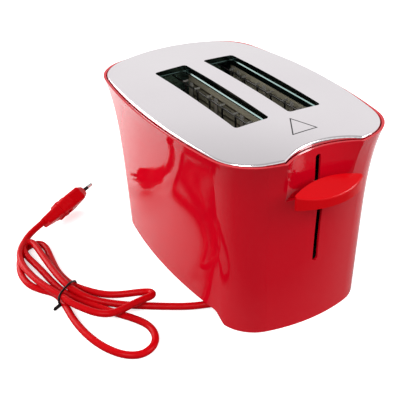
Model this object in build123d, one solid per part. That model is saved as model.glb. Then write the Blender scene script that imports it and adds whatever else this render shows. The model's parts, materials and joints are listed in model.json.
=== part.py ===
from build123d import *
import math
import os

# A two-slice pop up toaster. Millimetres, +Z up, Z = 0 on the table, +X towards the lever end.
# The model is laid out about the middle of the shell, and save() moves it so that the
# origin is the middle of the whole toaster, lever knob included.

# ---- driving dimensions ----
RIM_FRONT = 134.3          # shell centre to the rim at the lever end, before the recess is cut
RIM_HALF_WIDTH = 87.7
RIM_Z = 164.7
WALL = 2.2
SIDE_RADIUS = 522.0        # plan radii of the rim: long side, end, corner
END_RADIUS = 168.0
CORNER_RADIUS = 43.0

SKIRT_Z = 0.8              # lower edge of the shell
FRONT_INSET = 15.0         # how far the foot of the shell lies inside the rim
BACK_INSET = 16.0
SIDE_INSET = 13.8
LEAN = 0.455               # share of the inset that closes evenly with height
FLARE_POWER = 6            # the rest closes in a flare near the rim
SECTION_COUNT = 9

LEDGE_Z = 129.0            # floor of the lever recess
RECESS_X = 120.0           # deepest line of the recess
RECESS_TOP_RADIUS = 58.0
RECESS_LOW_RADIUS = 150.0
RECESS_HALF_SPAN = 45.0
RECESS_TOP_Z = 173.0

ARCH_Z = 10.5              # the long sides are raised off the table between the corners
ARCH_FRONT = 78.0
ARCH_BACK = -92.0
ARCH_SLOPE = 12.0

PLATE_INSET = 3.1          # top plate edge, in from the outer rim
PLATE_LOW_Z = 163.4
PLATE_EDGE_Z = 167.2
PLATE_TOP_Z = 172.8
PLATE_THICKNESS = 1.0
PLATE_ROLL = 1.6
PLATE_EDGE_RADIUS = 1.5
CROWN_HEIGHT = 60.0        # vertical semi-axis of the plate's crown

SLOT_LENGTH = 137.0
SLOT_WIDTH = 31.6
SLOT_GAP = 18.8
SLOT_X = -0.4
SLOT_CORNER = 3.0
COLLAR_Z = 165.0
COLLAR_LIP = 0.9           # small step inwards at the foot of the collars

FLOOR_Z = 13.0             # underside of the base plate
BASE_THICKNESS = 2.0
BASE_TOP = FLOOR_Z + BASE_THICKNESS

LEVER_SLOT_WIDTH = 5.0
LEVER_SLOT_LOW = 63.0
LEVER_SLOT_HIGH = 159.0
LEVER_DOWN = 60.0
LEVER_UP = 16.0
ARM_Z = 132.5
ARM_WIDTH = 3.6
ARM_HEIGHT = 6.0

KNOB_FRONT = 145.4
KNOB_BACK = 127.3
KNOB_BACK_TOP = 142.2      # the top slopes down from here towards the front
KNOB_SLOPE = 0.385
KNOB_LOW = 127.4
KNOB_HALF_WIDTH = 31.2
KNOB_TIP_X = 134.4
KNOB_TIP_DEPTH = 2.0
KNOB_ROUNDING = 2.0
KNOB_ARM_END = 136.0       # how far the lever arm reaches into the knob

SLOT_Y = (SLOT_GAP + SLOT_WIDTH) / 2
LIFTER_Z = 90.0
SHEET = 0.8
FRONT_BULKHEAD_X = 86.0
REAR_BULKHEAD_X = -90.0
CAVITY_LOW = 23.0
BULKHEAD_TOP = 160.0
ROD_X = 100.0
ROD_Y = 10.0
ROD_RADIUS = 2.5
RUNNING_GAP = 0.06

DIAL_X = 64.0
DIAL_Z = 44.0
BUTTON_Z = 77.0
BUTTON_TRAVEL = 2.5

CORD_RADIUS = 3.2
GLAND_TILT = math.atan2(-0.85, -0.53)

# Free cord, from the gland to the tied hank, and from the hank to the plug
CORD_RUN = [
    (70.3, -53.3, 7.5), (64.5, -63.5, 5.6), (56.0, -79.0, 3.6), (46.5, -94.0, 3.3), (36.5, -108.5, 3.25),
]
CORD_LEAD = [
    (-110.0, -172.4, 9.6), (-118.2, -164.6, 10.6), (-124.4, -154.6, 12.4), (-129.1, -143.4, 14.5),
]
PLUG_REAR = CORD_LEAD[-1]
PLUG_AXIS = (-0.478, 0.878, 0.06)
PLUG_ROLL = 48.0
HANK_WAIST = (-19.5, -163.2)
HANK_ANGLE = 40.0
HANK_HALF_WIDTH = 15.5
HANK_HEIGHT = 13.2

CENTRE_SHIFT = -(KNOB_FRONT - RIM_FRONT) / 2
SIDES = (("left", -1), ("right", 1))


# ---- shared helpers ----
def save(node, shape):
    export_step(Pos(CENTRE_SHIFT, 0, 0) * shape, f"parts/{node}.step")


def block(x0, x1, y0, y1, z0, z1):
    """A box between two corners."""
    return Pos((x0 + x1) / 2, (y0 + y1) / 2, (z0 + z1) / 2) * Box(x1 - x0, y1 - y0, z1 - z0)


def post(x, y, z0, z1, radius):
    """An upright cylinder."""
    return Pos(x, y, (z0 + z1) / 2) * Cylinder(radius, z1 - z0)


def spindle(x, z, y0, y1, radius):
    """A cylinder along Y."""
    return Pos(x, (y0 + y1) / 2, z) * Rot(90, 0, 0) * Cylinder(radius, y1 - y0)


def rail(x0, x1, y, z, radius):
    """A cylinder along X."""
    return Pos((x0 + x1) / 2, y, z) * Rot(0, 90, 0) * Cylinder(radius, x1 - x0)


def oval_wire(front, back, half_width, z, inset):
    """Closed plan of tangent arcs: two long sides, two ends and four corners."""
    shrink = (RIM_HALF_WIDTH - half_width) + inset
    half_length = (front - back) / 2 - inset
    side = SIDE_RADIUS - shrink
    end = END_RADIUS - shrink
    corner = CORNER_RADIUS - shrink / 2
    width = half_width - inset
    # Corner centre: tangent inside both the end arc and the side arc
    end_c = half_length - end
    side_c = width - side
    far = math.hypot(end_c, side_c)
    to_end = end - corner
    to_side = side - corner
    along = (to_end ** 2 - to_side ** 2 + far ** 2) / (2 * far)
    off = math.sqrt(to_end ** 2 - along ** 2)
    ux = -end_c / far
    uy = side_c / far
    cx = end_c + along * ux - off * uy
    cy = along * uy + off * ux
    middle = (front + back) / 2
    end_angle = math.atan2(cy, cx - end_c)
    side_angle = math.atan2(cy - side_c, cx)
    on_end = (end_c + end * math.cos(end_angle), end * math.sin(end_angle))
    on_side = (side * math.cos(side_angle), side_c + side * math.sin(side_angle))
    half_angle = (end_angle + side_angle) / 2
    on_corner = (cx + corner * math.cos(half_angle), cy + corner * math.sin(half_angle))

    def at(x, y):
        return (middle + x, y, z)

    edges = [
        ThreePointArc(at(on_end[0], -on_end[1]), at(half_length, 0), at(*on_end)),
        ThreePointArc(at(*on_end), at(*on_corner), at(*on_side)),
        ThreePointArc(at(*on_side), at(0, width), at(-on_side[0], on_side[1])),
        ThreePointArc(
            at(-on_side[0], on_side[1]), at(-on_corner[0], on_corner[1]), at(-on_end[0], on_end[1]),
        ),
        ThreePointArc(at(-on_end[0], on_end[1]), at(-half_length, 0), at(-on_end[0], -on_end[1])),
        ThreePointArc(
            at(-on_end[0], -on_end[1]), at(-on_corner[0], -on_corner[1]), at(-on_side[0], -on_side[1]),
        ),
        ThreePointArc(at(-on_side[0], -on_side[1]), at(0, -width), at(on_side[0], -on_side[1])),
        ThreePointArc(
            at(on_side[0], -on_side[1]), at(on_corner[0], -on_corner[1]), at(on_end[0], -on_end[1]),
        ),
    ]
    return Wire(edges)


def section(z):
    """Front x, back x and half width of the shell at a height."""
    rise = z / RIM_Z
    share = 1 - LEAN * rise - (1 - LEAN) * rise ** FLARE_POWER
    front = RIM_FRONT - FRONT_INSET * share
    back = BACK_INSET * share - RIM_FRONT
    return front, back, RIM_HALF_WIDTH - SIDE_INSET * share


def rim_prism(inset, z0, z1):
    """Straight-sided block with the plan of the rim."""
    face = Face(oval_wire(RIM_FRONT, -RIM_FRONT, RIM_HALF_WIDTH, z0, inset))
    return extrude(face, amount=z1 - z0, dir=(0, 0, 1))


def flared_body(inset):
    """The shell's outside, or its inside when inset by the wall."""
    step = (RIM_Z - SKIRT_Z) / (SECTION_COUNT - 1)
    heights = [SKIRT_Z + step * i for i in range(SECTION_COUNT)]
    return loft([Face(oval_wire(*section(z), z, inset)) for z in heights])


def recess_face(apex, radius, z):
    sag = radius - math.sqrt(radius ** 2 - RECESS_HALF_SPAN ** 2)
    near = (apex + sag, -RECESS_HALF_SPAN, z)
    far = (apex + sag, RECESS_HALF_SPAN, z)
    beyond = RIM_FRONT + 2 * CORNER_RADIUS
    edges = [
        ThreePointArc(near, (apex, 0, z), far),
        Line(far, (beyond, RECESS_HALF_SPAN, z)),
        Line((beyond, RECESS_HALF_SPAN, z), (beyond, -RECESS_HALF_SPAN, z)),
        Line((beyond, -RECESS_HALF_SPAN, z), near),
    ]
    return Face(Wire(edges))


def recess_tool(inset):
    """Hollow cut out of the lever end, wider and deeper by inset."""
    low = recess_face(RECESS_X - inset, RECESS_LOW_RADIUS + inset, LEDGE_Z - inset)
    high = recess_face(RECESS_X - inset, RECESS_TOP_RADIUS + inset, RECESS_TOP_Z)
    return loft([low, high])


def slot_prism(side, grow, z0, z1):
    """Upright prism of one bread slot, grown by a margin."""
    plan = Pos(SLOT_X, side * SLOT_Y, z0) * RectangleRounded(
        SLOT_LENGTH + 2 * grow, SLOT_WIDTH + 2 * grow, SLOT_CORNER + grow
    )
    return extrude(plan, amount=z1 - z0, dir=(0, 0, 1))


# ---- casing ----
BOSSES = ((98.0, 49.0), (98.0, -49.0), (-80.0, 60.0), (-80.0, -60.0))
BOSS_RADIUS = 4.5
BOSS_TOP = 40.0
SCREW_RADIUS = 1.45
PILOT_RADIUS = 1.5
DIAL_FACE = 75.4
BUTTON_FACE = 75.4


def arch_tool():
    low = SKIRT_Z - WALL
    outline = Polyline(
        (ARCH_BACK - ARCH_SLOPE, low), (ARCH_BACK, ARCH_Z), (ARCH_FRONT, ARCH_Z),
        (ARCH_FRONT + ARCH_SLOPE, low), close=True,
    )
    profile = Plane.XZ * make_face(outline)
    tool = extrude(profile, amount=RIM_HALF_WIDTH, both=True)
    corners = tool.edges().filter_by(Axis.Y).group_by(Axis.Z)[-1]
    return fillet(corners, ARCH_SLOPE / 2)


def make_shell():
    outside = flared_body(0)
    shell = outside - recess_tool(0)
    cavity = flared_body(WALL) - recess_tool(WALL)
    shell -= cavity
    for x, y in BOSSES:
        outward = math.copysign(12, y)
        boss = post(x, y, BASE_TOP, BOSS_TOP, BOSS_RADIUS)
        boss += block(
            x - WALL / 2, x + WALL / 2, min(y, y + outward), max(y, y + outward), BASE_TOP, BOSS_TOP,
        )
        shell += boss & outside
        shell -= post(x, y, BASE_TOP, BOSS_TOP - WALL, PILOT_RADIUS)
    shell += spindle(DIAL_X, DIAL_Z, 69.5, DIAL_FACE, 15.5)
    shell -= spindle(DIAL_X, DIAL_Z, 60, 80, 3.6)
    shell += spindle(DIAL_X, BUTTON_Z, 70.6, BUTTON_FACE, 11)
    shell -= spindle(DIAL_X, BUTTON_Z, 60, 80, 7.3)
    shell -= arch_tool()
    slot_height = LEVER_SLOT_HIGH - LEVER_SLOT_LOW
    slot = Plane.YZ * Rot(0, 0, 90) * SlotOverall(slot_height, LEVER_SLOT_WIDTH)
    shell -= Pos(RECESS_X, 0, LEVER_SLOT_LOW + slot_height / 2) * extrude(slot, amount=18, both=True)
    shell -= block(-130, -105, -TRAY_HALF_WIDTH - 1, TRAY_HALF_WIDTH + 1, BASE_TOP, TRAY_TOP + 0.6)
    return shell


def crown(drop):
    """Ellipsoid whose top is the plate's gentle dome."""
    rim_ratio = 1 - (PLATE_TOP_Z - PLATE_EDGE_Z) / CROWN_HEIGHT
    reach = math.sqrt(1 - rim_ratio ** 2)
    dome = scale(Sphere(1), by=(RIM_FRONT / reach, RIM_HALF_WIDTH / reach, CROWN_HEIGHT))
    return Pos(0, 0, PLATE_TOP_Z - CROWN_HEIGHT - drop) * dome


def make_top_plate():
    solid = (rim_prism(PLATE_INSET, PLATE_LOW_Z, PLATE_TOP_Z + 1) - recess_tool(PLATE_INSET)) & crown(0)
    dome = solid.faces().sort_by(Axis.Z)[-1]
    solid = fillet(dome.edges(), PLATE_EDGE_RADIUS)
    inner = PLATE_INSET + PLATE_ROLL
    hollow = rim_prism(inner, PLATE_LOW_Z - 1, PLATE_TOP_Z + 1) - recess_tool(inner)
    hollow = hollow & crown(PLATE_THICKNESS)
    plate = solid - hollow
    for _, side in SIDES:
        plate += slot_prism(side, PLATE_THICKNESS, COLLAR_Z, PLATE_TOP_Z + 1) & crown(0)
    for _, side in SIDES:
        plate -= slot_prism(side, 0, COLLAR_Z + COLLAR_LIP, PLATE_TOP_Z + 1)
        plate -= slot_prism(side, -COLLAR_LIP, COLLAR_Z - 1, PLATE_TOP_Z + 1)
    return plate


def make_base_plate():
    face = Face(oval_wire(*section(FLOOR_Z), FLOOR_Z, WALL + 0.5))
    plate = extrude(face, amount=BASE_THICKNESS, dir=(0, 0, 1))
    for x, y in BOSSES + LEG_SCREWS:
        plate -= post(x, y, FLOOR_Z - 1, BASE_TOP + 1, SCREW_RADIUS + 0.3)
    return plate


FEET = ((88.0, 40.0), (88.0, -36.0), (-97.0, 40.0), (-97.0, -40.0))
FOOT_RADIUS = 7.0
LEG_SCREWS = ((91.0, 56.4), (91.0, -56.4), (-94.2, 56.4), (-94.2, -56.4))


def make_feet():
    return [fillet(post(x, y, 0, FLOOR_Z, FOOT_RADIUS).edges().group_by(Axis.Z)[0], 1.2) for x, y in FEET]


def make_screws(places, top):
    """Pan-head screws driven up from under the base plate."""
    screws = []
    for x, y in places:
        head = post(x, y, FLOOR_Z - 1.7, FLOOR_Z, 2.9)
        screws.append(head + post(x, y, FLOOR_Z, top, SCREW_RADIUS))
    return screws


# ---- crumb tray ----
TRAY_HALF_WIDTH = 51.0
TRAY_FRONT = 80.0
TRAY_LOW = 15.3
TRAY_TOP = 21.3
TRAY_GRIP_X = -127.0


def make_crumb_tray():
    back = -111.0
    tray = block(back, TRAY_FRONT, -TRAY_HALF_WIDTH, TRAY_HALF_WIDTH, TRAY_LOW, TRAY_TOP)
    inside = block(back + SHEET, TRAY_FRONT - SHEET, -TRAY_HALF_WIDTH + SHEET, TRAY_HALF_WIDTH - SHEET,
                   TRAY_LOW + SHEET, TRAY_TOP + 1)
    tray -= inside
    tray += block(TRAY_GRIP_X, back, -28, 28, TRAY_LOW, TRAY_LOW + 2)
    grip = block(TRAY_GRIP_X, TRAY_GRIP_X + 2.4, -28, 28, TRAY_LOW, TRAY_TOP)
    return tray + grip


# ---- chassis ----
LEG_WIDTH = 6.0
FOOT_LENGTH = 7.5


def bulkhead(x, flange_side):
    """Upright sheet at one end of the oven, on two legs with screwed feet."""
    half = 56.0
    sheet = block(x, x + SHEET, -half, half, CAVITY_LOW, BULKHEAD_TOP)
    for _, side in SIDES:
        inner = min(side * 53.4, side * (53.4 + LEG_WIDTH))
        leg = block(x, x + SHEET, inner, inner + LEG_WIDTH, BASE_TOP, CAVITY_LOW + 20)
        x0 = x if flange_side > 0 else x - FOOT_LENGTH
        foot = block(x0, x0 + FOOT_LENGTH + SHEET, inner, inner + LEG_WIDTH, BASE_TOP, BASE_TOP + SHEET)
        sheet += leg + foot
        sheet -= block(x - 1, x + 2, side * SLOT_Y - 3, side * SLOT_Y + 3, CAVITY_LOW + 1, 112)
    for sx, sy in LEG_SCREWS:
        sheet -= post(sx, sy, BASE_TOP - 1, BASE_TOP + 2, PILOT_RADIUS)
    return sheet


def make_front_bulkhead():
    """Carries the guide rod and the spring on a folded top flange."""
    sheet = bulkhead(FRONT_BULKHEAD_X, 1)
    flange_top = BULKHEAD_TOP + 1.2
    sheet += block(FRONT_BULKHEAD_X, ROD_X + 7, -19, 19, BULKHEAD_TOP, flange_top)
    return sheet - post(ROD_X, ROD_Y, BULKHEAD_TOP - 1, flange_top + 1, ROD_RADIUS + 0.1)


def make_reflector(side):
    y0 = min(side * 52.6, side * (52.6 + SHEET))
    return block(REAR_BULKHEAD_X + SHEET, FRONT_BULKHEAD_X, y0, y0 + SHEET, CAVITY_LOW, BULKHEAD_TOP - 2)


# ---- heating ----
HEATER_BACK = -80.0
HEATER_FRONT = 78.0
HEATER_LOW = 34.0
HEATER_TOP = 156.0
RIBBON_ROWS = 11
RIBBON_HEIGHT = 1.8
RIBBON_DEPTH = 0.3
HEATER_Y = {"left": -46.6, "centre": 0.0, "right": 46.6}


def make_mica_board(name):
    y = HEATER_Y[name]
    board = block(HEATER_BACK, HEATER_FRONT, y - SHEET / 2, y + SHEET / 2, HEATER_LOW, HEATER_TOP)
    tabs = block(REAR_BULKHEAD_X + SHEET, FRONT_BULKHEAD_X, y - SHEET / 2, y + SHEET / 2, 60, 66)
    return board + tabs


def make_ribbons(name):
    """Rows of flat resistance ribbon on each face that a slice of bread meets."""
    faces = {"left": (1,), "centre": (-1, 1), "right": (-1,)}[name]
    pitch = (HEATER_TOP - HEATER_LOW - 12) / (RIBBON_ROWS - 1)
    rows = []
    for face in faces:
        surface = HEATER_Y[name] + face * SHEET / 2
        y0 = min(surface, surface + face * RIBBON_DEPTH)
        for row in range(RIBBON_ROWS):
            z = HEATER_LOW + 6 + row * pitch
            rows.append(block(HEATER_BACK + 3, HEATER_FRONT - 3, y0, y0 + RIBBON_DEPTH,
                              z - RIBBON_HEIGHT / 2, z + RIBBON_HEIGHT / 2))
    return rows


GUIDE_WIRES = 7
GUIDE_RADIUS = 0.9
GUIDE_RAIL_RADIUS = 1.0
GUIDE_LOW = 31.0
GUIDE_RAILS = (GUIDE_LOW, 88.0, 138.0, 155.0)
GUIDE_TOP = 157.5
GUIDE_HOOK = 5.0
GUIDE_STRIPS = (-56.0, -13.0, 29.0, 60.0)
STRIP_WIDTH = 5.0


def make_bread_guide(y):
    """Wires and flat strips on long rails that keep the bread off the heater."""
    guide = rail(REAR_BULKHEAD_X + SHEET, FRONT_BULKHEAD_X, y, GUIDE_RAILS[0], GUIDE_RAIL_RADIUS)
    for z in GUIDE_RAILS[1:]:
        guide += rail(REAR_BULKHEAD_X + SHEET, FRONT_BULKHEAD_X, y, z, GUIDE_RAIL_RADIUS)
    pitch = (SLOT_LENGTH - 8) / (GUIDE_WIRES - 1)
    for wire in range(GUIDE_WIRES):
        x = SLOT_X - SLOT_LENGTH / 2 + 4 + wire * pitch
        guide += post(x, y, GUIDE_LOW, GUIDE_TOP, GUIDE_RADIUS)
        guide += spindle(x, GUIDE_TOP, y - 0.5 * GUIDE_HOOK, y + 0.5 * GUIDE_HOOK, GUIDE_RADIUS)
    for x in GUIDE_STRIPS:
        guide += block(x, x + STRIP_WIDTH, y - SHEET / 2, y + SHEET / 2, GUIDE_LOW, GUIDE_TOP + 2)
    return guide


# ---- lever, carriage and lifters ----
CARRIAGE_X = 92.0
CARRIAGE_SHEET = 1.2
ARMATURE_Z = 96.0


def make_carriage():
    """Sheet bracket that slides on the guide rod and carries both lifters."""
    x1 = CARRIAGE_X + CARRIAGE_SHEET
    plate = block(CARRIAGE_X, x1, -31, 31, LIFTER_Z - 5, LIFTER_Z + 9)
    plate += block(CARRIAGE_X, x1, -18, 18, LIFTER_Z + 9, ARM_Z + 5)
    plate += block(x1 - 0.1, ROD_X, ROD_Y - 3, ROD_Y + 3, LIFTER_Z + 6, ARM_Z - 4)
    plate += post(ROD_X, ROD_Y, LIFTER_Z + 4, ARM_Z, ROD_RADIUS + 2)
    plate += block(x1 - 0.1, x1 + 10, -26, -16, ARMATURE_Z + 1.6, ARMATURE_Z + 2.8)
    plate += block(x1 - 0.1, x1 + 10, SPRING_Y - 5, SPRING_Y + 4, ARM_Z + 4, ARM_Z + 5)
    return plate - post(ROD_X, ROD_Y, LIFTER_Z, ARM_Z + 1, ROD_RADIUS + RUNNING_GAP)


def make_armature_plate():
    return block(CARRIAGE_X + 2, CARRIAGE_X + 13, -26, -16, ARMATURE_Z, ARMATURE_Z + 1.6)


def make_guide_rod():
    return post(ROD_X, ROD_Y, BASE_TOP, BULKHEAD_TOP + 3, ROD_RADIUS)


def make_lever_arm():
    half = ARM_WIDTH / 2
    x0 = CARRIAGE_X + CARRIAGE_SHEET
    low = ARM_Z - ARM_HEIGHT / 2
    arm = block(x0, KNOB_ARM_END, -half, half, low, low + ARM_HEIGHT)
    foot = block(x0, CARRIAGE_X + 3, -7, 4, low, low + ARM_HEIGHT)
    return arm + foot


def make_lever_knob():
    tip = KNOB_TIP_X + KNOB_TIP_DEPTH
    low = KNOB_LOW
    outline = Wire([
        ThreePointArc(
            (KNOB_TIP_X, -KNOB_HALF_WIDTH, low), (KNOB_BACK, 0, low), (KNOB_TIP_X, KNOB_HALF_WIDTH, low),
        ),
        Line((KNOB_TIP_X, KNOB_HALF_WIDTH, low), (tip, KNOB_HALF_WIDTH, low)),
        ThreePointArc((tip, KNOB_HALF_WIDTH, low), (KNOB_FRONT, 0, low), (tip, -KNOB_HALF_WIDTH, low)),
        Line((tip, -KNOB_HALF_WIDTH, low), (KNOB_TIP_X, -KNOB_HALF_WIDTH, low)),
    ])
    knob = extrude(Face(outline), amount=KNOB_BACK_TOP - low + 1, dir=(0, 0, 1))
    tilt = math.degrees(math.atan(KNOB_SLOPE))
    above = Pos(KNOB_BACK, 0, KNOB_BACK_TOP) * Rot(0, tilt, 0) * Pos(0, 0, 20) * Box(120, 120, 40)
    knob -= above
    faces = knob.faces()
    front = faces.filter_by(GeomType.CYLINDER).sort_by(Axis.X)[-1]
    rim = [edge for edge in front.edges() if edge.center().Z > low + 2 and edge.geom_type != GeomType.LINE]
    knob = fillet(rim, KNOB_ROUNDING)
    half = ARM_WIDTH / 2
    socket_low = ARM_Z - ARM_HEIGHT / 2
    return knob - block(KNOB_BACK - 1, KNOB_ARM_END, -half, half, socket_low, socket_low + ARM_HEIGHT)


def make_bread_lifter(side):
    """Long bar under one slice, with cross prongs."""
    y = side * SLOT_Y
    bar = block(-96, CARRIAGE_X, y - 1.2, y + 1.2, LIFTER_Z - 4, LIFTER_Z + 4)
    pitch = (SLOT_LENGTH - 8) / (GUIDE_WIRES - 1)
    for prong in range(GUIDE_WIRES - 1):
        x = SLOT_X - SLOT_LENGTH / 2 + 4 + (prong + 0.5) * pitch
        bar += block(x - 2, x + 2, y - 9.5, y + 9.5, LIFTER_Z + 3, LIFTER_Z + 4)
    return bar


SPRING_Y = -12.0
SPRING_RADIUS = 3.6
SPRING_WIRE = 0.5


def make_carriage_spring():
    low = ARM_Z + 5 + SPRING_WIRE
    height = BULKHEAD_TOP - SPRING_WIRE - low
    coil = Pos(ROD_X - 1, SPRING_Y, low) * Helix(pitch=height / 7, height=height, radius=SPRING_RADIUS)
    section = Plane(origin=coil @ 0, z_dir=coil % 0) * Circle(SPRING_WIRE)
    return sweep(section, path=coil, is_frenet=True)


# ---- electrics ----
def make_electromagnet():
    """Coil on a steel core, standing under the armature."""
    x = CARRIAGE_X + 8
    y = -21.0
    top = ARMATURE_Z - LEVER_DOWN - 0.3
    core = post(x, y, BASE_TOP, top, 2.5)
    coil = post(x, y, BASE_TOP + 3, top - 3, 6.0)
    yoke = block(x - 5, x + 8, y - 5, y + 5, BASE_TOP, BASE_TOP + 1.5)
    return core + coil + yoke


BOARD_Y = 57.6
BOARD_THICKNESS = 1.6
BOARD_OUT = BOARD_Y + BOARD_THICKNESS


def make_circuit_board():
    board = block(36, 84, BOARD_Y, BOARD_OUT, 20, 92)
    board += block(40, 48, BOARD_OUT, BOARD_OUT + 5, 60, 84)
    board += spindle(44, 50, BOARD_OUT, BOARD_OUT + 7, 3.5)
    return board + block(50, 56, BOARD_OUT, BOARD_OUT + 3, 62, 68)


def make_potentiometer():
    body = spindle(DIAL_X, DIAL_Z, BOARD_OUT, 66.2, 8)
    return body - spindle(DIAL_X, DIAL_Z, BOARD_OUT + 2, 70, 3 + RUNNING_GAP)


def make_dial_shaft():
    return spindle(DIAL_X, DIAL_Z, BOARD_OUT + 2.4, 82, 3)


def make_browning_dial():
    """Round knob with a raised pointer bar across its face."""
    low = DIAL_FACE + 0.5
    dial = spindle(DIAL_X, DIAL_Z, low, 84.2, 13)
    dial = fillet(dial.edges().group_by(Axis.Y)[-1], 1.2)
    dial += block(DIAL_X - 1.4, DIAL_X + 1.4, 84.1, 86.2, DIAL_Z - 10.5, DIAL_Z + 10.5)
    return dial - spindle(DIAL_X, DIAL_Z, 70, 82, 3)


def make_cancel_button():
    cap = spindle(DIAL_X, BUTTON_Z, 69, 79, 7)
    cap = fillet(cap.edges().group_by(Axis.Y)[-1], 1)
    flange = spindle(DIAL_X, BUTTON_Z, 68, 69.3, 8.6)
    return cap + flange + spindle(DIAL_X, BUTTON_Z, 65.4, 68, 2.4)


def make_cancel_switch():
    return block(DIAL_X - 3, DIAL_X + 3, BOARD_OUT, 62.5, BUTTON_Z - 3, BUTTON_Z + 3)


def make_terminal_block():
    body = block(44, 68, -64, -57, BASE_TOP, BASE_TOP + 12)
    for x in (48, 56, 64):
        body -= post(x, -60.5, BASE_TOP + 8, BASE_TOP + 13, 2)
    return body


def make_power_switch():
    """Pair of leaf contacts that the carriage closes at the bottom of its stroke."""
    body = block(CARRIAGE_X + 2, CARRIAGE_X + 11, 24, 34, BASE_TOP, BASE_TOP + 9)
    for y in (26, 31):
        body += block(CARRIAGE_X + 2, CARRIAGE_X + 9, y, y + 1, BASE_TOP + 9, BASE_TOP + 12)
    return body


# ---- cord ----
def cord_tube(route, name):
    """Straight runs joined by tangent arcs, each as large as its two runs allow."""
    points = [Vector(*p) for p in route]
    radii = []
    for before, here, after in zip(points, points[1:], points[2:]):
        turn = math.radians((here - before).get_angle(after - here))
        run = min((here - before).length, (after - here).length)
        radii.append(0.45 * run / math.tan(turn / 2))
    path = FilletPolyline(*points, radius=radii)
    tube = sweep(Plane(origin=path @ 0, z_dir=path % 0) * Circle(CORD_RADIUS), path=path)
    ideal = math.pi * CORD_RADIUS ** 2 * path.length
    print(name, "radii", [round(r) for r in radii], "volume ratio", round(tube.volume / ideal, 4))
    return tube


GLAND_LENGTH = 13.0


def make_cord_gland():
    """Strain relief bush hung under the base plate, pointing out under the raised side."""
    x, y, z = CORD_RUN[0]
    out = Vector(math.cos(GLAND_TILT), math.sin(GLAND_TILT), 0)
    middle = Vector(x, y, z) - out * (GLAND_LENGTH / 2)
    plane = Plane(origin=middle, x_dir=out, z_dir=(0, 0, 1))
    bush = plane * Rot(0, 90, 0) * Cylinder(5, GLAND_LENGTH)
    hanger = plane * Pos(0, 0, (FLOOR_Z - z) / 2) * Box(GLAND_LENGTH - 4, 8, FLOOR_Z - z)
    return bush + hanger


def make_inner_wires():
    """Supply leads from the gland's hanger up to the terminal block and on to the board."""
    leads = []
    for x in (48, 56):
        top = BASE_TOP + 34 + (x - 48) / 2
        path = FilletPolyline((x, -60.5, BASE_TOP + 8), (x, -60.5, top), (x + 44, -58.2, top),
                              (x + 46, -36, top - 4), radius=4)
        leads.append(sweep(Plane(origin=path @ 0, z_dir=path % 0) * Circle(1), path=path))
    return leads


def lobe(x, y, half_length, half_width, angle):
    plan = Pos(x, y, 0.1) * Rot(0, 0, angle) * Ellipse(half_length, half_width)
    return extrude(plan, amount=HANK_HEIGHT, dir=(0, 0, 1))


def make_cord_hank():
    """Outer shape of the tied turns: two lobes on one side of the tie and one on the other."""
    x, y = HANK_WAIST
    place = Pos(x, y, 0.1 + HANK_HEIGHT / 2) * Rot(0, 0, HANK_ANGLE)
    waist = place * Box(30, 2 * HANK_HALF_WIDTH, HANK_HEIGHT)
    hank = waist + lobe(-72, -172.5, 43, 19.5, 6)
    hank += lobe(12, -132, 41, 18, 53)
    return hank + lobe(39, -150, 51, 24, 17)


TIE_GAP = 0.4


def make_cord_tie():
    """Twisted wire tie round the waist of the hank, with two short tails."""
    x, y = HANK_WAIST
    half = HANK_HALF_WIDTH + TIE_GAP
    top = HANK_HEIGHT + TIE_GAP
    hoop = block(-0.8, 0.8, -half - 1, half + 1, 0.1, top + 1) - block(-1, 1, -half, half, 0, top)
    tail = Pos(0, -half - 3.6, 3.6) * Rot(35, 0, 0) * Box(1.6, 8, 1.6)
    return Pos(x, y, 0) * Rot(0, 0, HANK_ANGLE) * (hoop + tail)


# ---- plug ----
def plug_plane(distance):
    """Plane across the plug's axis, a distance along it from the cord, rolled onto its edge."""
    axis = Vector(*PLUG_AXIS).normalized()
    level = Vector(axis.Y, -axis.X, 0).normalized()
    upward = level.cross(axis)
    roll = math.radians(PLUG_ROLL)
    across = level * math.cos(roll) + upward * math.sin(roll)
    return Plane(origin=Vector(*PLUG_REAR) + axis * distance, x_dir=across, z_dir=axis)


RELIEF_LENGTH = 19.0
PLUG_LENGTH = 36.0
PIN_SPACING = 18.6


def make_plug_strain_relief():
    rear = plug_plane(0) * RectangleRounded(12, 9.6, 2.6)
    front = plug_plane(RELIEF_LENGTH) * RectangleRounded(20, 12.6, 3.4)
    return loft([rear.face(), front.face()])


def make_plug_body():
    profiles = ((0, 22, 13.2), (13, 31, 14.8), (28, 33, 15), (PLUG_LENGTH, 25, 10.5))
    faces = [
        (plug_plane(RELIEF_LENGTH + along) * RectangleRounded(width, depth, 3.5)).face()
        for along, width, depth in profiles
    ]
    body = loft(faces, ruled=True)
    for along in (2.5, 10.5):
        body += plug_plane(RELIEF_LENGTH + along) * extrude(RectangleRounded(18, 17, 4), amount=2.4)
    return body


def make_plug_pins():
    pins = []
    for side in (-1, 1):
        base = plug_plane(RELIEF_LENGTH + PLUG_LENGTH) * Pos(side * PIN_SPACING / 2, 0, 0)
        pins.append(base * Pos(0, 0, 10.5) * Cylinder(2, 7))
    return pins


def make_pin_sleeves():
    sleeves = []
    for side in (-1, 1):
        base = plug_plane(RELIEF_LENGTH + PLUG_LENGTH) * Pos(side * PIN_SPACING / 2, 0, 0)
        sleeves.append(base * Pos(0, 0, 3.5) * Cylinder(1.9, 7))
    return sleeves


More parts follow.
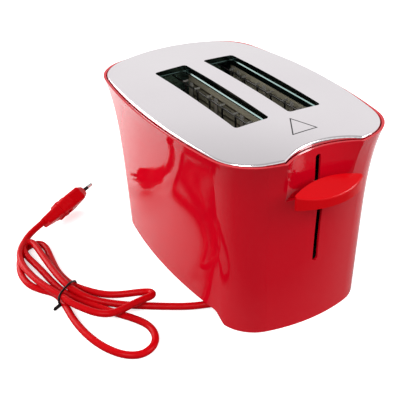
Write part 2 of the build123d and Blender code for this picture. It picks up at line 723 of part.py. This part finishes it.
def main():
    os.makedirs("parts", exist_ok=True)
    save("shell", make_shell())
    save("top_plate", make_top_plate())
    save("base_plate", make_base_plate())
    save("feet", Compound(make_feet()))
    save("base_screws", Compound(make_screws(BOSSES, BOSS_TOP - 6)))
    save("chassis_screws", Compound(make_screws(LEG_SCREWS, BASE_TOP + 3)))
    save("crumb_tray", make_crumb_tray())
    save("front_bulkhead", make_front_bulkhead())
    save("rear_bulkhead", bulkhead(REAR_BULKHEAD_X, -1))
    for name, side in SIDES:
        save(f"{name}_reflector", make_reflector(side))
        save(f"{name}_bread_lifter", make_bread_lifter(side))
        inner = side * (SLOT_GAP / 2 + 2.2)
        outer = side * (SLOT_GAP / 2 + SLOT_WIDTH - 2.2)
        save(f"{name}_inner_bread_guide", make_bread_guide(inner))
        save(f"{name}_outer_bread_guide", make_bread_guide(outer))
    for name in HEATER_Y:
        save(f"{name}_mica_board", make_mica_board(name))
        save(f"{name}_heating_ribbon", Compound(make_ribbons(name)))
    save("carriage", make_carriage())
    save("armature_plate", make_armature_plate())
    save("guide_rod", make_guide_rod())
    save("carriage_spring", make_carriage_spring())
    save("lever_arm", make_lever_arm())
    save("lever_knob", make_lever_knob())
    save("electromagnet", make_electromagnet())
    save("circuit_board", make_circuit_board())
    save("potentiometer", make_potentiometer())
    save("dial_shaft", make_dial_shaft())
    save("browning_dial", make_browning_dial())
    save("cancel_button", make_cancel_button())
    save("cancel_switch", make_cancel_switch())
    save("terminal_block", make_terminal_block())
    save("power_switch", make_power_switch())
    save("inner_wires", Compound(make_inner_wires()))
    save("cord_gland", make_cord_gland())
    save("power_cord", cord_tube(CORD_RUN, "power_cord"))
    save("cord_hank", make_cord_hank())
    save("cord_tie", make_cord_tie())
    save("cord_lead", cord_tube(CORD_LEAD, "cord_lead"))
    save("plug_strain_relief", make_plug_strain_relief())
    save("plug_body", make_plug_body())
    save("plug_pins", Compound(make_plug_pins()))
    save("pin_sleeves", Compound(make_pin_sleeves()))


main()
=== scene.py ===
import bpy
import bmesh
import json
import math
from mathutils import Matrix, Vector

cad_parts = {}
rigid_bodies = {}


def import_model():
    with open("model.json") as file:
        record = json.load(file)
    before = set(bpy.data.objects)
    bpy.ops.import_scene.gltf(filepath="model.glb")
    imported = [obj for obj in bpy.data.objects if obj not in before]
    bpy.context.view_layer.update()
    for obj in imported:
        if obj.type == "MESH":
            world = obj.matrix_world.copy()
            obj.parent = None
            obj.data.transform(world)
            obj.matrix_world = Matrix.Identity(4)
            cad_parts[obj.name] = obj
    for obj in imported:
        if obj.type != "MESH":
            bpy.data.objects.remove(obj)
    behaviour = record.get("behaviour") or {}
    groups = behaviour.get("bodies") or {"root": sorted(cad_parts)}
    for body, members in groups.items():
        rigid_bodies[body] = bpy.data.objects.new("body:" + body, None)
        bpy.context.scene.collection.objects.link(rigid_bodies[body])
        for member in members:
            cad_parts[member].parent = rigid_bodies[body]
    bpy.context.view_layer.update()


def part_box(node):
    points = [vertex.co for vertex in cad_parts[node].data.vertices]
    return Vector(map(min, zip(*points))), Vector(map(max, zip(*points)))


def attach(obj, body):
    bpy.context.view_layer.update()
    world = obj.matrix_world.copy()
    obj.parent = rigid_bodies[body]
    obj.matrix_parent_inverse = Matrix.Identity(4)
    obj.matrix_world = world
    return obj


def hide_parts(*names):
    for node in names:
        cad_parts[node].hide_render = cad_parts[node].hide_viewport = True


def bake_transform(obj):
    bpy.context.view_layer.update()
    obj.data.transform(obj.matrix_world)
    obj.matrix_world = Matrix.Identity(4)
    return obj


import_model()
SHELL_LOW, SHELL_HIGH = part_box("shell")
MIDDLE_X = (SHELL_LOW.x + SHELL_HIGH.x) / 2       # middle of the shell, in the row frame
OBJ = bpy.data.objects


def in_row(point):
    """Point about the middle of the shell, moved into the row frame."""
    return Vector((point[0] + MIDDLE_X, point[1], point[2]))


def add_object(name, data):
    made = bpy.data.objects.new(name, data)
    bpy.context.collection.objects.link(made)
    return made


def add_spline(curve, points, resolution):
    """Open, smooth NURBS line through control points in the row frame."""
    spline = curve.splines.new("NURBS")
    spline.points.add(len(points) - 1)
    for place, point in zip(spline.points, points):
        place.co = (*point, 1)
    spline.order_u = 3
    spline.use_endpoint_u = True
    spline.resolution_u = resolution


def round_curve(name, radius, rounding):
    curve = bpy.data.curves.new(name, "CURVE")
    curve.dimensions = "3D"
    curve.bevel_depth = radius
    curve.bevel_resolution = rounding
    curve.use_fill_caps = True
    return curve


# ---------------------------------------------------------------- camera
AZIMUTH, ELEVATION, ROLL = 60.99, 30.67, -1.92    # degrees
EYE = (0.5497, -0.3405, 0.4421)                   # metres, about the middle of the shell
LENS, SENSOR = 72.77, 36                          # millimetres


def make_camera():
    """Long-lens three-quarter view from above the lever end."""
    azimuth, elevation, roll = (math.radians(angle) for angle in (AZIMUTH, ELEVATION, ROLL))
    back = Vector((
        math.sin(azimuth) * math.cos(elevation),
        -math.cos(azimuth) * math.cos(elevation),
        math.sin(elevation),
    ))
    level = Vector((math.cos(azimuth), math.sin(azimuth), 0))
    up = back.cross(level)
    right = level * math.cos(roll) + up * math.sin(roll)
    up = up * math.cos(roll) - level * math.sin(roll)
    data = bpy.data.cameras.new("camera")
    data.sensor_width = SENSOR
    data.lens = LENS
    camera = add_object("camera", data)
    turn = Matrix((right, up, back)).transposed()
    camera.matrix_world = Matrix.Translation(in_row(EYE)) @ turn.to_4x4()
    data.clip_start, data.clip_end = 0.01, 50
    bpy.context.scene.camera = camera


# ---------------------------------------------------------------- materials
def new_material(name):
    mat = bpy.data.materials.new(name)
    mat.use_nodes = True
    tree = mat.node_tree
    shader = tree.nodes["Principled BSDF"]
    return mat, tree, shader


def node(tree, kind, **inputs):
    made = tree.nodes.new(kind)
    for key, value in inputs.items():
        made.inputs[key.replace("_", " ")].default_value = value
    return made


def object_coords(tree, scale=(1, 1, 1)):
    coords = tree.nodes.new("ShaderNodeTexCoord")
    mapping = tree.nodes.new("ShaderNodeMapping")
    mapping.inputs["Scale"].default_value = scale
    tree.links.new(coords.outputs["Object"], mapping.inputs["Vector"])
    return mapping.outputs["Vector"]


def noise(tree, vector, scale, detail=4.0, rough=0.5):
    made = node(tree, "ShaderNodeTexNoise", Scale=scale, Detail=detail, Roughness=rough)
    tree.links.new(vector, made.inputs["Vector"])
    return made.outputs["Fac"]


def ramp(tree, fac, low, high, start=0.3, end=0.7):
    made = tree.nodes.new("ShaderNodeValToRGB")
    made.color_ramp.elements[0].position = start
    made.color_ramp.elements[1].position = end
    made.color_ramp.elements[0].color = low
    made.color_ramp.elements[1].color = high
    tree.links.new(fac, made.inputs["Fac"])
    return made.outputs["Color"]


def span(tree, fac, low, high, start=0.3, end=0.7):
    made = node(tree, "ShaderNodeMapRange", From_Min=start, From_Max=end, To_Min=low, To_Max=high)
    tree.links.new(fac, made.inputs["Value"])
    return made.outputs["Result"]


def math_node(tree, operation, *values):
    """One Math node, fed by sockets or plain numbers."""
    made = tree.nodes.new("ShaderNodeMath")
    made.operation = operation
    for i, value in enumerate(values):
        if isinstance(value, (int, float)):
            made.inputs[i].default_value = value
        else:
            tree.links.new(value, made.inputs[i])
    return made.outputs[0]


def split(tree, vector):
    made = tree.nodes.new("ShaderNodeSeparateXYZ")
    tree.links.new(vector, made.inputs["Vector"])
    return made.outputs


def mix(tree, factor, first, second):
    """Colour mix, where each colour is a socket or a plain colour."""
    made = tree.nodes.new("ShaderNodeMix")
    made.data_type = "RGBA"
    tree.links.new(factor, made.inputs["Factor"])
    for key, value in (("A", first), ("B", second)):
        if isinstance(value, tuple):
            made.inputs[key].default_value = value
        else:
            tree.links.new(value, made.inputs[key])
    return made.outputs["Result"]


def camera_ray(tree):
    return tree.nodes.new("ShaderNodeLightPath").outputs["Is Camera Ray"]


def bump(tree, shader, height, strength, distance):
    made = node(tree, "ShaderNodeBump", Strength=strength, Distance=distance)
    tree.links.new(height, made.inputs["Height"])
    tree.links.new(made.outputs["Normal"], shader.inputs["Normal"])
    return made


def grey(value):
    return (value, value, value, 1)


def tint(color, factor):
    return (color[0] * factor, color[1] * factor, color[2] * factor, 1)


def plastic(name, color, rough, coat=0.0, specular=0.5, grain=900, depth=0.00002, vary=0.08):
    """Moulded plastic: slight colour drift, patchy roughness and a fine surface texture."""
    mat, tree, shader = new_material(name)
    vector = object_coords(tree)
    drift = noise(tree, vector, 14)
    shade = ramp(tree, drift, tint(color, 1 - vary), tint(color, 1 + vary))
    tree.links.new(shade, shader.inputs["Base Color"])
    tree.links.new(span(tree, noise(tree, vector, 60), rough * 0.8, rough * 1.25), shader.inputs["Roughness"])
    shader.inputs["Specular IOR Level"].default_value = specular
    shader.inputs["Coat Weight"].default_value = coat
    shader.inputs["Coat Roughness"].default_value = 0.03
    bump(tree, shader, noise(tree, vector, grain), 0.35, depth)
    return mat


def metal(name, color, rough, stretch=(1, 1, 1), grain=400, depth=0.00001, vary=0.06):
    """Sheet or wire metal with a drawn grain along one axis."""
    mat, tree, shader = new_material(name)
    shader.inputs["Metallic"].default_value = 1.0
    fine = noise(tree, object_coords(tree, stretch), grain, 5, 0.6)
    broad = noise(tree, object_coords(tree), 22)
    shade = ramp(tree, broad, tint(color, 1 - vary), tint(color, 1 + vary))
    tree.links.new(shade, shader.inputs["Base Color"])
    tree.links.new(span(tree, fine, rough * 0.75, rough * 1.3), shader.inputs["Roughness"])
    bump(tree, shader, fine, 0.25, depth)
    return mat


RED = (0.56, 0.0010, 0.0105)
MATS = {}


# Where painted shade darkens the plate's walls inside the slots, each fading from the first value to the
# second
WALL_LEAN = (0.35, 0.75)          # upward part of the surface's normal
COLLAR_TOP = (0.1706, 0.1716)     # height, metres
SLOTS_WIDE = (0.0425, 0.044)      # distance from the long middle line
SLOTS_LONG = (0.080, 0.084)       # distance from the cross middle line
# painted shade colour for the plate's walls inside the slots
SLOT_WALL_SHADE = (0.060, 0.100, 0.090, 1)

# Bread guides
FLAT_STRIP = (0.9985, 0.9995)     # sideways part of the normal on a flat strip
HOOK_TOP = (0.1562, 0.1570)       # height above which the hooks get a painted glint, metres
DARK_WIRE = (0.045, 0.043, 0.040, 1)
# painted glint colour for the hooks at the top of the guides
PAINTED_HOOK_GLINT = (0.85, 0.83, 0.78, 1)


def slot_steel(name):
    """Satin steel plate with painted shade on its walls, darker where it turns down into the slots."""
    mat, tree, shader = new_material(name)
    shader.inputs["Metallic"].default_value = 1.0
    vector = object_coords(tree)
    fine = noise(tree, object_coords(tree, (1, 22, 1)), 260, 5, 0.6)
    broad = ramp(tree, noise(tree, vector, 9), (0.85, 0.815, 0.84, 1), (0.89, 0.86, 0.88, 1))
    place = split(tree, vector)
    lean = split(tree, tree.nodes.new("ShaderNodeNewGeometry").outputs["Normal"])
    upright = span(tree, lean["Z"], 1, 0, *WALL_LEAN)
    below = span(tree, place["Z"], 1, 0, *COLLAR_TOP)
    beside = span(tree, math_node(tree, "ABSOLUTE", place["Y"]), 1, 0, *SLOTS_WIDE)
    within = span(tree, math_node(tree, "ABSOLUTE", place["X"]), 1, 0, *SLOTS_LONG)
    wall = math_node(tree, "MULTIPLY", upright, below)
    inward = math_node(tree, "MULTIPLY", beside, within)
    slot_shade = math_node(tree, "MULTIPLY", wall, inward)
    # painted shade: the slot walls are darkened towards the painted shade colour
    tree.links.new(mix(tree, slot_shade, broad, SLOT_WALL_SHADE), shader.inputs["Base Color"])
    tree.links.new(span(tree, fine, 0.10, 0.20), shader.inputs["Roughness"])
    bump(tree, shader, fine, 0.2, 0.000008)
    return mat


def guide_metal(name):
    """Dark drawn wire whose flat strips are a dull grey-brown, with a painted glint on the hooks at the top.
    """
    mat, tree, shader = new_material(name)
    shader.inputs["Metallic"].default_value = 0.85
    vector = object_coords(tree)
    lean = split(tree, tree.nodes.new("ShaderNodeNewGeometry").outputs["True Normal"])
    flat = span(tree, math_node(tree, "ABSOLUTE", lean["Y"]), 0, 1, *FLAT_STRIP)
    top = span(tree, split(tree, vector)["Z"], 0, 1, *HOOK_TOP)
    speckle = ramp(tree, noise(tree, vector, 320), (0.62, 0.56, 0.47, 1), (0.76, 0.69, 0.60, 1))
    strip = mix(tree, flat, DARK_WIRE, speckle)
    # painted glint: the hooks above HOOK_TOP take the bright glint colour
    tree.links.new(mix(tree, top, strip, PAINTED_HOOK_GLINT), shader.inputs["Base Color"])
    tree.links.new(span(tree, noise(tree, vector, 90), 0.22, 0.38), shader.inputs["Roughness"])
    bump(tree, shader, noise(tree, vector, 700), 0.3, 0.00001)
    return mat


def make_materials():
    MATS["casing"] = plastic("casing_red", RED, 0.055, specular=0.40, grain=260, depth=0.000003, vary=0.02)
    MATS["knob"] = plastic("knob_red", (0.57, 0.0008, 0.0040), 0.20, specular=0.16, grain=700, vary=0.03)
    MATS["cord"] = plastic("cord_red", (0.50, 0.0008, 0.0036), 0.24, specular=0.07, grain=1400, vary=0.06)
    MATS["plug"] = plastic("plug_red", (0.52, 0.0008, 0.0042), 0.25, specular=0.10, grain=1200, vary=0.05)
    MATS["plate"] = slot_steel("plate_steel")
    MATS["oven"] = metal("oven_sheet", (0.34, 0.54, 0.49), 0.30, (1, 1, 12), 120, vary=0.2)
    # reflectors painted near black: painted shade for the dark inside of the toaster
    MATS["shaded_flank"] = metal("reflector_sheet_painted_shade", (0.055, 0.085, 0.078), 0.34, (1, 1, 12), 120, vary=0.2)
    MATS["zinc"] = metal("zinc_sheet", (0.50, 0.50, 0.48), 0.33, (1, 1, 12), 120, vary=0.12)
    MATS["guide"] = guide_metal("guide_wire")
    MATS["wire"] = metal("bright_wire", (0.60, 0.59, 0.57), 0.20, vary=0.08)
    MATS["screw"] = metal("screw_steel", (0.42, 0.42, 0.43), 0.30, vary=0.08)
    MATS["pin"] = metal("pin_nickel", (0.76, 0.75, 0.73), 0.14, vary=0.04)
    MATS["ribbon"] = metal("resistance_ribbon", (0.26, 0.22, 0.17), 0.40, vary=0.2)
    MATS["black"] = plastic("black_plastic", (0.014, 0.014, 0.015), 0.42)
    MATS["rubber"] = plastic("foot_rubber", (0.022, 0.022, 0.022), 0.75, specular=0.3, depth=0.00006)
    MATS["tie"] = plastic("tie_plastic", (0.004, 0.003, 0.003), 0.34, specular=0.2)
    MATS["mica"] = plastic("mica_board", (0.24, 0.22, 0.16), 0.5, grain=220, depth=0.00008, vary=0.25)
    MATS["ceramic"] = plastic("ceramic", (0.62, 0.60, 0.54), 0.4, vary=0.05)
    MATS["copper"] = metal("enamelled_copper", (0.50, 0.17, 0.06), 0.30, (1, 1, 60), 200)
    MATS["board"] = plastic("circuit_board", (0.03, 0.16, 0.06), 0.35, grain=300, vary=0.15)


WEARS = {
    "casing": ("shell",),
    "knob": ("lever_knob", "browning_dial", "cancel_button"),
    "cord": ("power_cord", "cord_hank", "cord_lead", "inner_wires"),
    "plug": ("plug_body", "plug_strain_relief"),
    "plate": ("top_plate",),
    "oven": ("front_bulkhead", "rear_bulkhead"),
    "shaded_flank": ("left_reflector", "right_reflector"),
    "zinc": ("crumb_tray", "left_bread_lifter", "right_bread_lifter", "carriage", "lever_arm"),
    "guide": ("left_inner_bread_guide", "left_outer_bread_guide", "right_inner_bread_guide",
              "right_outer_bread_guide"),
    "wire": ("guide_rod", "carriage_spring"),
    "screw": ("base_screws", "chassis_screws", "armature_plate"),
    "pin": ("plug_pins",),
    "ribbon": ("left_heating_ribbon", "centre_heating_ribbon", "right_heating_ribbon"),
    "black": ("base_plate", "potentiometer", "dial_shaft", "cancel_switch", "cord_gland"),
    "rubber": ("feet",),
    "tie": ("cord_tie", "pin_sleeves"),
    "mica": ("left_mica_board", "centre_mica_board", "right_mica_board"),
    "ceramic": ("terminal_block", "power_switch"),
    "copper": ("electromagnet",),
    "board": ("circuit_board",),
}


def dress_cad():
    for name, nodes in WEARS.items():
        for cad in nodes:
            for place in OBJ[cad].material_slots:
                place.material = MATS[name]


# ---------------------------------------------------------------- cord
CORD_RADIUS = 0.0032
# Route in metres about the middle of the shell: out of the gland, through the tied hank, to the plug
RUN_OUT = [
    (0.0703, -0.0533, 0.0075), (0.0645, -0.0635, 0.0056), (0.0560, -0.0790, 0.0036),
    (0.0465, -0.0940, 0.0033), (0.0365, -0.1085, 0.00325),
]
HANK_TURNS = [
    # the run goes on under the upper loop and climbs over the bundle to the tie
    (0.0290, -0.1192, 0.0033), (0.0212, -0.1293, 0.0034),
    (0.0130, -0.1393, 0.0040), (0.0045, -0.1488, 0.0058),
    (-0.0055, -0.1562, 0.0080), (-0.0205, -0.1618, 0.0094),
    # upper loop on the plug side
    (-0.0400, -0.1640, 0.0098), (-0.0600, -0.1645, 0.0096),
    (-0.0800, -0.1642, 0.0094), (-0.0970, -0.1638, 0.0092),
    (-0.1085, -0.1645, 0.0090), (-0.1110, -0.1700, 0.0086),
    (-0.1040, -0.1755, 0.0078), (-0.0910, -0.1765, 0.0066),
    (-0.0765, -0.1738, 0.0056), (-0.0600, -0.1715, 0.0048),
    (-0.0410, -0.1695, 0.0038), (-0.0200, -0.1655, 0.0033),
    # large lower loop on the toaster side
    (-0.0040, -0.1580, 0.0033), (0.0120, -0.1490, 0.0033),
    (0.0280, -0.1395, 0.0033), (0.0440, -0.1285, 0.0033),
    (0.0580, -0.1218, 0.0033), (0.0730, -0.1222, 0.0033),
    (0.0850, -0.1300, 0.0033), (0.0895, -0.1430, 0.0033),
    (0.0830, -0.1550, 0.0033), (0.0690, -0.1640, 0.0033),
    (0.0530, -0.1695, 0.0033), (0.0360, -0.1725, 0.0033),
    (0.0180, -0.1735, 0.0033), (0.0020, -0.1725, 0.0033), (-0.0120, -0.1715, 0.0033),
    # lower loop on the plug side
    (-0.0260, -0.1735, 0.0033), (-0.0380, -0.1830, 0.0033),
    (-0.0500, -0.1890, 0.0033), (-0.0650, -0.1905, 0.0033),
    (-0.0800, -0.1880, 0.0033), (-0.0940, -0.1825, 0.0033),
    (-0.1060, -0.1755, 0.0033), (-0.1125, -0.1660, 0.0033),
    (-0.1105, -0.1560, 0.0033), (-0.1010, -0.1538, 0.0033),
    (-0.0880, -0.1552, 0.0033), (-0.0720, -0.1575, 0.0033),
    (-0.0570, -0.1590, 0.0033), (-0.0430, -0.1582, 0.0033), (-0.0275, -0.1552, 0.0033),
    # upper loop on the toaster side, folded back over the others
    (-0.0140, -0.1475, 0.0036), (-0.0030, -0.1405, 0.0044),
    (0.0060, -0.1325, 0.0054), (0.0135, -0.1220, 0.0070),
    (0.0200, -0.1115, 0.0090), (0.0275, -0.1030, 0.0110),
    (0.0345, -0.1045, 0.0122), (0.0350, -0.1150, 0.0122),
    (0.0358, -0.1270, 0.0116), (0.0368, -0.1375, 0.0108),
    (0.0355, -0.1475, 0.0102), (0.0280, -0.1560, 0.0099),
    (0.0150, -0.1635, 0.0099), (0.0020, -0.1695, 0.0099), (-0.0112, -0.1725, 0.0099),
    # back through the tie towards the plug
    (-0.0250, -0.1775, 0.0099), (-0.0410, -0.1822, 0.0099),
    (-0.0580, -0.1850, 0.0099), (-0.0750, -0.1860, 0.0099),
    (-0.0900, -0.1835, 0.0099), (-0.1010, -0.1785, 0.0098),
]
LEAD_IN = [
    (-0.1100, -0.1724, 0.0096), (-0.1182, -0.1646, 0.0106),
    (-0.1244, -0.1546, 0.0124), (-0.1291, -0.1434, 0.0145),
]


def make_cord():
    route = [in_row(p) for p in RUN_OUT + HANK_TURNS + LEAD_IN]
    curve = round_curve("mains_cord", CORD_RADIUS, 5)
    add_spline(curve, route, 12)
    cord = add_object("mains_cord", curve)
    curve.materials.append(MATS["cord"])
    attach(cord, "housing")
    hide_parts("power_cord", "cord_hank", "cord_lead")


TIE_RADIUS = 0.00105
TWIST_RADIUS = 0.0008


def make_tie():
    """Coated wire tie drawn round the bundle, with its twisted ends below."""
    hoop = [
        (-0.0300, -0.1512, 0.0016), (-0.0292, -0.1520, 0.0066),
        (-0.0262, -0.1545, 0.0090), (-0.0215, -0.1590, 0.0128),
        (-0.0165, -0.1640, 0.0142), (-0.0118, -0.1702, 0.0141),
        (-0.0080, -0.1752, 0.0128), (-0.0066, -0.1768, 0.0090),
        (-0.0070, -0.1762, 0.0040), (-0.0090, -0.1740, 0.0014),
    ]
    twist = []
    for step in range(15):
        share = step / 14
        middle = Vector((-0.0082, -0.1748, 0.0030)).lerp(Vector((-0.0048, -0.1822, 0.0026)), share)
        turn = 5.5 * math.pi * share
        twist.append((middle, turn))
    strands = [hoop]
    for side in (0, math.pi):
        strands.append([
            (m.x + TWIST_RADIUS * math.cos(t + side), m.y, m.z + TWIST_RADIUS * math.sin(t + side))
            for m, t in twist
        ])
    curve = round_curve("wire_tie", TIE_RADIUS, 4)
    for points in strands:
        add_spline(curve, [in_row(point) for point in points], 8)
    tie = add_object("wire_tie", curve)
    curve.materials.append(MATS["tie"])
    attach(tie, "housing")
    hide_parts("cord_tie")


# ---------------------------------------------------------------- carriage spring
def make_spring():
    """Open coil between the housing and the carriage."""
    low, high = (Vector(corner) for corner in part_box("carriage_spring"))
    centre = (low + high) / 2
    wire = 0.0004
    radius = (high.y - low.y) / 2 - wire
    turns = 7
    steps = 20 * turns
    coil = []
    for i in range(steps + 1):
        share = i / steps
        angle = 2 * math.pi * turns * share
        rise = low.z + wire + share * (high.z - low.z - 2 * wire)
        coil.append((centre.x + radius * math.cos(angle), centre.y + radius * math.sin(angle), rise))
    curve = round_curve("spring_line", wire, 3)
    add_spline(curve, coil, 2)
    line = add_object("spring_line", curve)
    bpy.context.view_layer.update()
    ready = line.evaluated_get(bpy.context.evaluated_depsgraph_get())
    mesh = bpy.data.meshes.new_from_object(ready)
    bpy.data.objects.remove(line)
    spring = add_object("lift_spring", mesh)
    mesh.materials.clear()
    mesh.materials.append(MATS["wire"])
    for face in mesh.polygons:
        face.use_smooth = True
    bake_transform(spring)
    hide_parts("carriage_spring")


# ---------------------------------------------------------------- mark on the plate
def plate_height(x, y):
    """Height of the plate's top under a point, found on the CAD plate."""
    hit, place, _, _ = OBJ["top_plate"].ray_cast(Vector((x, y, 0.3)), Vector((0, 0, -1)))
    return place.z if hit else SHELL_HIGH.z


def make_plate_mark():
    """Plain printed outline of a triangle, with nothing inside."""
    corners = [
        Vector((0.0796 + MIDDLE_X, 0.0036)),
        Vector((0.1016 + MIDDLE_X, 0.0131)),
        Vector((0.1019 + MIDDLE_X, -0.0096)),
    ]
    bm = bmesh.new()

    def stroke(points, width):
        """Flat printed line along points, laid on the plate."""
        pairs = []
        for i, point in enumerate(points):
            before = points[max(i - 1, 0)]
            after = points[min(i + 1, len(points) - 1)]
            along = (after - before).normalized()
            off = Vector((-along.y, along.x)) * width / 2
            pair = []
            for side in (-1, 1):
                place = point + off * side
                pair.append(bm.verts.new((place.x, place.y, plate_height(place.x, place.y) + 0.00004)))
            pairs.append(pair)
        for one, two in zip(pairs, pairs[1:]):
            bm.faces.new((one[0], one[1], two[1], two[0]))

    for i in range(3):
        start, end = corners[i], corners[(i + 1) % 3]
        along = (end - start).normalized() * 0.0004
        steps = [start - along + (end - start + 2 * along) * k / 8 for k in range(9)]
        stroke(steps, 0.0010)
    bmesh.ops.recalc_face_normals(bm, faces=bm.faces)
    mesh = bpy.data.meshes.new("plate_mark")
    bm.to_mesh(mesh)
    bm.free()
    mark = add_object("plate_mark", mesh)
    mesh.materials.append(plastic("mark_ink", (0.02, 0.02, 0.022), 0.5, grain=900, vary=0.2))
    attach(mark, "housing")


# ---------------------------------------------------------------- studio
def area_light(name, place, target, size, power):
    """Rectangular soft light aimed at target."""
    data = bpy.data.lights.new(name, "AREA")
    data.shape = "RECTANGLE"
    data.size, data.size_y = size
    data.energy = power
    light = add_object(name, data)
    light.location = place
    light.rotation_euler = (Vector(target) - Vector(place)).to_track_quat("-Z", "Y").to_euler()


FLOOR_GLOW = 0.60
SHADED_SIDE = (0.94, -0.34, 0)    # way in which the floor darkens in reflections


def make_floor():
    """White floor that glows for the camera and is darker to one side in reflections."""
    mesh = bpy.data.meshes.new("floor")
    bm = bmesh.new()
    bmesh.ops.create_grid(bm, x_segments=1, y_segments=1, size=6)
    bm.to_mesh(mesh)
    bm.free()
    floor = add_object("floor", mesh)
    mat, tree, shader = new_material("floor_white")
    vector = object_coords(tree)
    slope = tree.nodes.new("ShaderNodeVectorMath")
    slope.operation = "DOT_PRODUCT"
    tree.links.new(vector, slope.inputs[0])
    slope.inputs[1].default_value = SHADED_SIDE
    shade = span(tree, slope.outputs["Value"], 1, 0, -0.10, 0.17)
    seen = math_node(tree, "MAXIMUM", camera_ray(tree), shade)
    tree.links.new(ramp(tree, seen, grey(0.14), grey(0.92), 0, 1), shader.inputs["Base Color"])
    shader.inputs["Emission Color"].default_value = (1, 1, 1, 1)
    glow = math_node(tree, "MULTIPLY", camera_ray(tree), FLOOR_GLOW)
    tree.links.new(glow, shader.inputs["Emission Strength"])
    shader.inputs["Roughness"].default_value = 0.9
    shader.inputs["Specular IOR Level"].default_value = 0.0
    mesh.materials.append(mat)


def make_studio():
    make_floor()
    world = bpy.data.worlds.new("studio")
    bpy.context.scene.world = world
    world.use_nodes = True
    tree = world.node_tree
    coords = tree.nodes.new("ShaderNodeTexCoord")
    height = split(tree, coords.outputs["Generated"])["Z"]
    strength = span(tree, height, 0.88, 0.46, 0.50, 0.82)
    background = tree.nodes["Background"]
    background.inputs["Color"].default_value = (1, 0.985, 0.99, 1)
    seen = math_node(tree, "MAXIMUM", camera_ray(tree), strength)
    tree.links.new(seen, background.inputs["Strength"])
    area_light("left_softbox", (-1.1, -0.75, 0.55), (0, 0, 0.08), (0.9, 0.9), 13)
    area_light("camera_softbox", (0.75, -1.2, 1.25), (0, 0, 0.08), (0.9, 0.7), 16)
    area_light("right_softbox", (0.9, 1.2, 0.8), (0, 0, 0.1), (0.5, 1.1), 15)


make_camera()
make_materials()
dress_cad()
make_tie()
make_cord()
make_spring()
make_plate_mark()
make_studio()
bpy.context.scene.view_settings.view_transform = "Standard"
